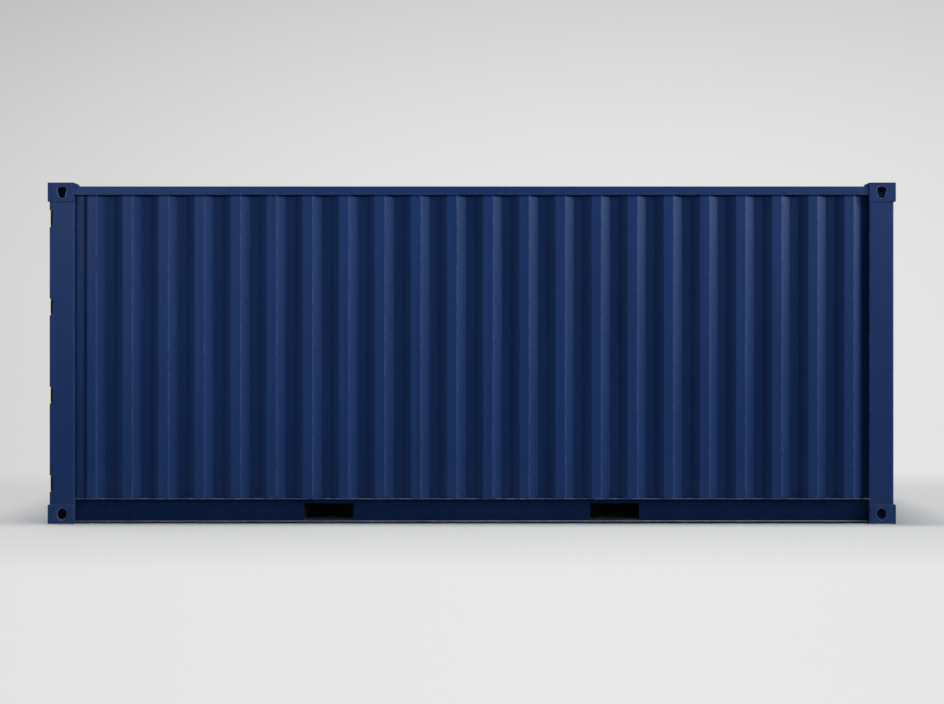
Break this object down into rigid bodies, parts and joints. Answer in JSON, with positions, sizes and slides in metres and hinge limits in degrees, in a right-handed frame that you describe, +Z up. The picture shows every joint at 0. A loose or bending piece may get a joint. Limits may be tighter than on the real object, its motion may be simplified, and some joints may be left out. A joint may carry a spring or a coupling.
{
  "type": "shipping container",
  "caption": "Dry freight container with corrugated steel walls, corner fittings, fork pockets, a plywood floor and hinged double doors at one end.",
  "frame": {"origin": "middle of the base, on the plane of the bottom fittings' feet", "axes": "+X towards the closed front end with the doors at -X, +Y towards the left side, +Z up"},
  "size_m": [6.058, 2.438, 2.438],
  "materials": {
    "navy_paint": "satin navy paint",
    "underframe_paint": "matt dark undercoat",
    "galvanised_steel": "dull hot dip zinc",
    "seal_rubber": "matt black",
    "plywood_floor": "oiled plywood"
  },
  "bodies": {
    "container_box": {"bottom_front_left_fitting": "navy_paint", "bottom_front_right_fitting": "navy_paint", "bottom_rear_left_fitting": "navy_paint", "bottom_rear_right_fitting": "navy_paint", "door_header": "navy_paint", "door_sill": "navy_paint", "floor": "plywood_floor", "fork_pockets": "underframe_paint", "front_cross_members": "underframe_paint", "front_header": "navy_paint", "front_left_post": "navy_paint", "front_right_post": "navy_paint", "front_sill": "navy_paint", "front_wall": "navy_paint", "header_keepers": "galvanised_steel", "left_bottom_rail": "navy_paint", "left_hinge_lugs": "navy_paint", "left_side_wall": "navy_paint", "left_top_rail": "navy_paint", "middle_cross_members": "underframe_paint", "rear_cross_members": "underframe_paint", "rear_left_post": "navy_paint", "rear_right_post": "navy_paint", "right_bottom_rail": "navy_paint", "right_hinge_lugs": "navy_paint", "right_side_wall": "navy_paint", "right_top_rail": "navy_paint", "roof": "navy_paint", "sill_keepers": "galvanised_steel", "top_front_left_fitting": "navy_paint", "top_front_right_fitting": "navy_paint", "top_rear_left_fitting": "navy_paint", "top_rear_right_fitting": "navy_paint"},
    "right_door": {"right_door_frame": "navy_paint", "right_door_panel": "navy_paint", "right_door_gasket": "seal_rubber", "right_door_hinges": "navy_paint", "right_door_locking_bars": "galvanised_steel", "right_door_bar_brackets": "galvanised_steel"},
    "left_door": {"left_door_frame": "navy_paint", "left_door_panel": "navy_paint", "left_door_gasket": "seal_rubber", "left_door_hinges": "navy_paint", "left_door_locking_bars": "galvanised_steel", "left_door_bar_brackets": "galvanised_steel"}
  },
  "joints": [
    {"name": "right_door_hinge", "type": "hinge", "parent": "container_box", "child": "right_door", "pos_m": [-3.003, -1.185, 1.235], "axis": [0, 0, 1], "range_deg": [0, 265]},
    {"name": "left_door_hinge", "type": "hinge", "parent": "container_box", "child": "left_door", "pos_m": [-3.003, 1.185, 1.235], "axis": [0, 0, -1], "range_deg": [0, 265]}
  ]
}
